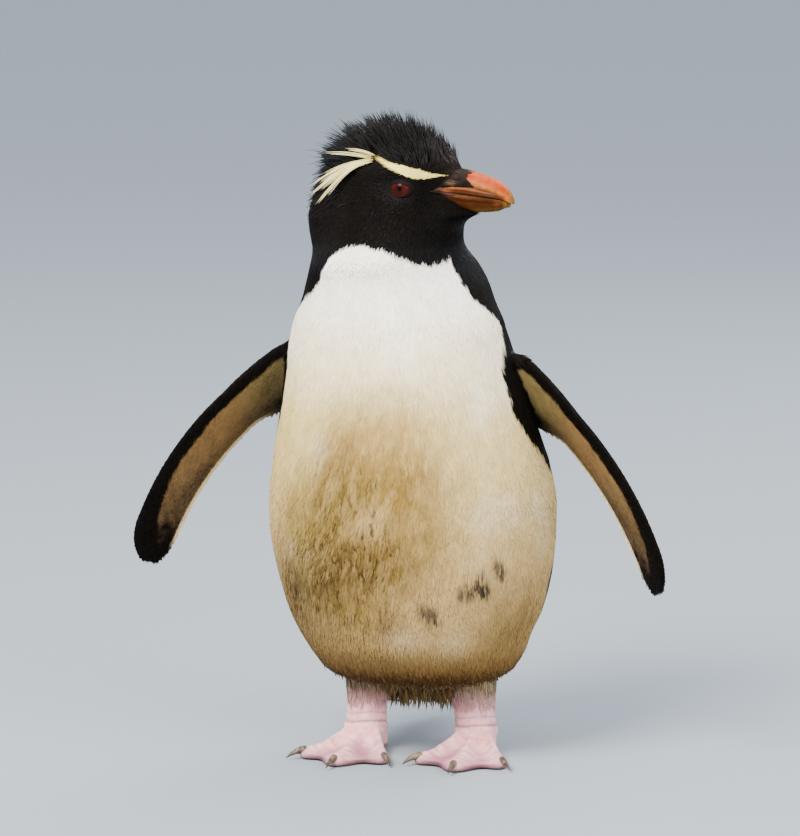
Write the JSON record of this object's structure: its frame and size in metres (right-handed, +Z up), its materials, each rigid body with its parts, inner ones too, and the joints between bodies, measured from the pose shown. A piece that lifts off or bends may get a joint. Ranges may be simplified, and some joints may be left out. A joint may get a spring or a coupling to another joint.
{
  "type": "rockhopper penguin model",
  "caption": "Life-size still model of a standing crested penguin with its flippers held out, head turned to its left, yellow brow plumes and webbed pink feet.",
  "frame": {"origin": "on the floor, under the middle of the whole bird's box", "axes": "+Z up, -Y the way the chest faces, +X the bird's left"},
  "size_m": [0.3474, 0.2244, 0.4159],
  "materials": {
    "plumage_body": "dense short feathers, white in front with brown soiling, black behind",
    "plumage_head": "dense short black feathers",
    "plume": "long soft yellow feathers",
    "bill": "smooth orange-brown horn plates",
    "eye": "wet dark red iris with a black pupil",
    "foot": "pink leathery skin with small scales",
    "claw": "brown-grey horn, darker at the tip"
  },
  "bodies": {
    "root": {"trunk": "plumage_body", "neck": "plumage_head", "head": "plumage_head", "tail": "plumage_head", "flipper_right": "plumage_head", "flipper_left": "plumage_head", "plume_right": "plume", "plume_left": "plume", "bill_upper": "bill", "bill_lower": "bill", "eye_right": "eye", "eye_left": "eye", "leg_right": "foot", "leg_left": "foot", "foot_right": "foot", "foot_left": "foot", "claw_right_outer": "claw", "claw_right_middle": "claw", "claw_right_inner": "claw", "claw_left_outer": "claw", "claw_left_middle": "claw", "claw_left_inner": "claw"}
  },
  "joints": []
}
